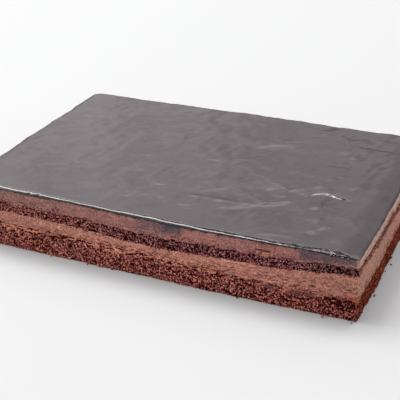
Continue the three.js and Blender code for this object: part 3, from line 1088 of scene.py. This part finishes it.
def standing_crumbs(name, low, high, damp, relief_seed, count, seed):
    """Crumbs that stand half free on a sponge's cut, with the painted shade of the sponge's columns
    there.
    """
    draw = np.random.default_rng(seed)
    travel = draw.uniform(0, GIRTH, count)
    place, out = on_cut(travel)
    bottom = cut_seam(low, place, travel) if low else np.full(count, FOOT_CRUMB)
    share = draw.uniform(0.02, 0.98, count)
    height = bottom + (cut_seam(high, place, travel) - bottom) * share
    sizes = draw.uniform(0.35, 0.85, count) ** 1.3
    stand = torn_crumb(travel, height, relief_seed)[0] + 0.1 * sizes
    points = np.column_stack([place + out * stand[:, None], np.maximum(height, sizes * 1.2)])
    tones, damps = draw.uniform(-0.8, 0.7, count), np.interp(travel, TRAVEL, damp)
    return crumb_lumps(name, points, sizes, seed + 2, tone=tones, damp=damps)


lower_lumps = standing_crumbs(
    "lower_sponge_lumps",
    low=None,
    high="sponge_cream",
    damp=lower_damp[0],
    relief_seed=LOWER_CRUMB_SEED,
    count=1900,
    seed=600,
)
upper_lumps = standing_crumbs(
    "upper_sponge_lumps",
    low="cream_sponge",
    high="sponge_top_cream",
    damp=upper_damp,
    relief_seed=UPPER_CRUMB_SEED,
    count=950,
    seed=610,
)
dress(lower_lumps, LOWER_CRUMB, "sponge")
dress(upper_lumps, UPPER_CRUMB, "sponge")

# Two crumbs have dropped in front of the right half, and the rest anywhere round the cake.
FALLEN = 28
fallen = np.random.default_rng(620)
fallen_travel = np.append([LENGTH / 2 + 68, LENGTH - 3], fallen.uniform(0, GIRTH, FALLEN - 2))
fallen_place, fallen_out = on_cut(fallen_travel)
fallen_size = fallen.uniform(0.35, 0.9, FALLEN)
fallen_place += fallen_out * fallen.uniform(0.3, 2.2, (FALLEN, 1))
fallen_points = np.column_stack([fallen_place, fallen_size * 0.8])
fallen_tones, fallen_damp = fallen.uniform(-0.9, 0.3, FALLEN), fallen.uniform(0.3, 0.9, FALLEN)
fallen_lumps = crumb_lumps(
    "fallen_crumbs", fallen_points, fallen_size, 621, tone=fallen_tones, damp=fallen_damp
)
dress(fallen_lumps, LOWER_CRUMB, "sponge")

# A light flake of broken cream sticks to the foot of the upper cream, under its tear.
FLAKE_BITS = 22
FLAKE_SUNK = 0.2  # millimetres that its bits lie in the cream
flake = np.random.default_rng(630)
flake_place, flake_out = on_cut(LENGTH / 2 + flake.uniform(82, 92, FLAKE_BITS))
flake_heights = flake.uniform(36.6, 38.9, FLAKE_BITS)
flake_points = np.column_stack([flake_place - FLAKE_SUNK * flake_out, flake_heights])
cream_flake = crumb_lumps("cream_flake", flake_points, flake.uniform(0.6, 1.0, FLAKE_BITS), 631)
FLAKE, _, flake_shader = finish_of("light_cream_flake", roughness=0.6, specular=0.2)
flake_shader.inputs["Base Color"].default_value = tone(158, 100, 76)
dress(cream_flake, FLAKE, "cream")


# ---- Glaze drops -----------------------------------------------------------------------------
# Near the right end of the front a few drops of glaze have set on the cream just under the rim.

DROPS = np.array([  # millimetres right of the middle, height, radius
    (131.8, 46.7, 1.1),
    (133.6, 46.3, 1.2),
    (136.0, 46.9, 1.0),
    (139.2, 46.4, 1.3),
    (143.0, 46.0, 1.1),
])
DROPS_PROUD = 0.6  # millimetres that their middles stand off the cut
drop_place, drop_out = on_cut(LENGTH / 2 + DROPS[:, 0])
drop_points = np.column_stack([drop_place + DROPS_PROUD * drop_out, DROPS[:, 1]])
drops = crumb_lumps("glaze_drops", drop_points, DROPS[:, 2], 640)
dress(drops, GLAZE, "glaze")


# ---- The table, the light and the camera -----------------------------------------------------
# A plain pale table under three soft lamps: a wide one overhead at the left, one high behind that
# draws the folds of the glaze, and a low one that rakes along the front. The glaze mirrors a soft
# studio that stands all round. The camera looks down on the cake from its right front.

TABLE_HALF = 6.0  # metres
TABLE_TONE = (0.286, 0.293, 0.289, 1.0)
TABLE_DROP = (0, 0, 0.05)  # millimetres that the table lies below the cake
floor = mesh_object(
    "table",
    np.array([[-1, -1, 0], [1, -1, 0], [1, 1, 0], [-1, 1, 0]]) * TABLE_HALF / MM - TABLE_DROP,
    [np.array([[0, 1, 2, 3]])],
)
table_material, _, table_shader = finish_of("pale_table", roughness=0.8, specular=0.1)
table_shader.inputs["Base Color"].default_value = TABLE_TONE
floor.data.materials.append(table_material)

world = bpy.data.worlds.new("studio")
bpy.context.scene.world = world
world.use_nodes = True
sky = world.node_tree
sky.nodes.clear()
direction = add_node(sky, "ShaderNodeTexCoord").outputs["Generated"]
parts = add_node(sky, "ShaderNodeSeparateXYZ", Vector=direction).outputs

# Behind the cake the studio grows brighter upwards, along lines that sink to the left, with a dark
# band across the left half. It also changes from left to right, and has faint clouds.
slant = combine(sky, parts["Z"], steps(sky, parts["X"], -1, 1, -0.092, 0.268), "SUBTRACT")
upward = curve(
    sky, slant,
    (0.1, 0.3), (0.25, 0.68), (0.355, 0.98), (0.46, 1.13), (0.54, 1.41), (0.61, 2.8), (0.7, 3.2),
)
band = combine(sky, steps(sky, slant, 0.66, 0.69), steps(sky, slant, 0.86, 0.92, 1, 0), "MULTIPLY")
band = combine(sky, band, steps(sky, parts["X"], -0.05, 0.05, 1, 0), "MULTIPLY")
upward = combine(sky, upward, steps(sky, band, 0, 1, 1, 0.05), "MULTIPLY")
rightward = curve(
    sky, parts["X"],
    (-0.62, 1.35), (-0.5, 1.49), (-0.38, 1.34), (-0.16, 1.08), (-0.02, 0.75), (0.9, 1.0),
)
behind = combine(sky, upward, rightward, "MULTIPLY")
clouds = add_node(sky, "ShaderNodeTexNoise", Vector=direction, Scale=16.0, Detail=2.0)
clouds = steps(sky, clouds.outputs["Fac"], 0.35, 0.65, 0.75, 1.25)
behind = combine(sky, behind, clouds, "MULTIPLY")

# In front it is even, with a fill of light on the right side.
share_behind = steps(sky, parts["Y"], -0.1, 0.35)
on_right = steps(sky, parts["X"], 0.15, 0.5, 0, 0.6)
right_fill = combine(sky, on_right, steps(sky, parts["Y"], 0.2, 0.5, 1, 0), "MULTIPLY")
in_front = combine(sky, steps(sky, share_behind, 0, 1, 1.1, 0), right_fill)
strength = combine(sky, in_front, combine(sky, behind, share_behind, "MULTIPLY"))
STUDIO_TINT = (1, 0.95, 0.985, 1)
background = add_node(sky, "ShaderNodeBackground", Color=STUDIO_TINT, Strength=strength)
add_node(sky, "ShaderNodeOutputWorld", Surface=background.outputs[0])


def softbox(name, place, target, size, radiance):
    """A rectangular lamp at `place` that faces `target`, in metres, equally bright all over."""
    light = bpy.data.lights.new(name, "AREA")
    light.shape = "RECTANGLE"
    light.size, light.size_y = size
    light.energy = radiance * math.pi * size[0] * size[1]
    lamp = bpy.data.objects.new(name, light)
    bpy.context.scene.collection.objects.link(lamp)
    facing = Vector(target) - Vector(place)
    lamp.location = place
    lamp.rotation_mode = "QUATERNION"
    lamp.rotation_quaternion = facing.to_track_quat("-Z", "Y")


softbox(
    "overhead_lamp",
    place=(-2.52, 0.4, 3.88), target=(-0.22, 0.4, -0.12), size=(2.4, 3.5), radiance=12,
)
softbox("corner_lamp", place=(0.12, 1.5, 4.22), target=(0, 0, 0), size=(2.9, 1.8), radiance=8)
softbox("raking_lamp", place=(-1.1, -0.75, 0.55), target=(0, -0.1, 0.03), size=(0.7, 0.7), radiance=4)

CAMERA_PLACE = (0.27513, -0.57798, 0.34910)  # metres; the next three are directions
CAMERA_RIGHT = (0.9079, 0.4178, -0.0352)
CAMERA_UP = (-0.1658, 0.4349, 0.8851)
CAMERA_BACK = (0.3851, -0.7977, 0.4641)
camera = bpy.data.cameras.new("camera")
camera.lens, camera.sensor_width = 83.8, 36.0  # millimetres
camera_stand = bpy.data.objects.new("camera", camera)
bpy.context.scene.collection.objects.link(camera_stand)
turned = Matrix((CAMERA_RIGHT, CAMERA_UP, CAMERA_BACK)).transposed().to_4x4()
turned.translation = CAMERA_PLACE
camera_stand.matrix_world = turned
bpy.context.scene.camera = camera_stand
bpy.context.scene.view_settings.view_transform = "Standard"
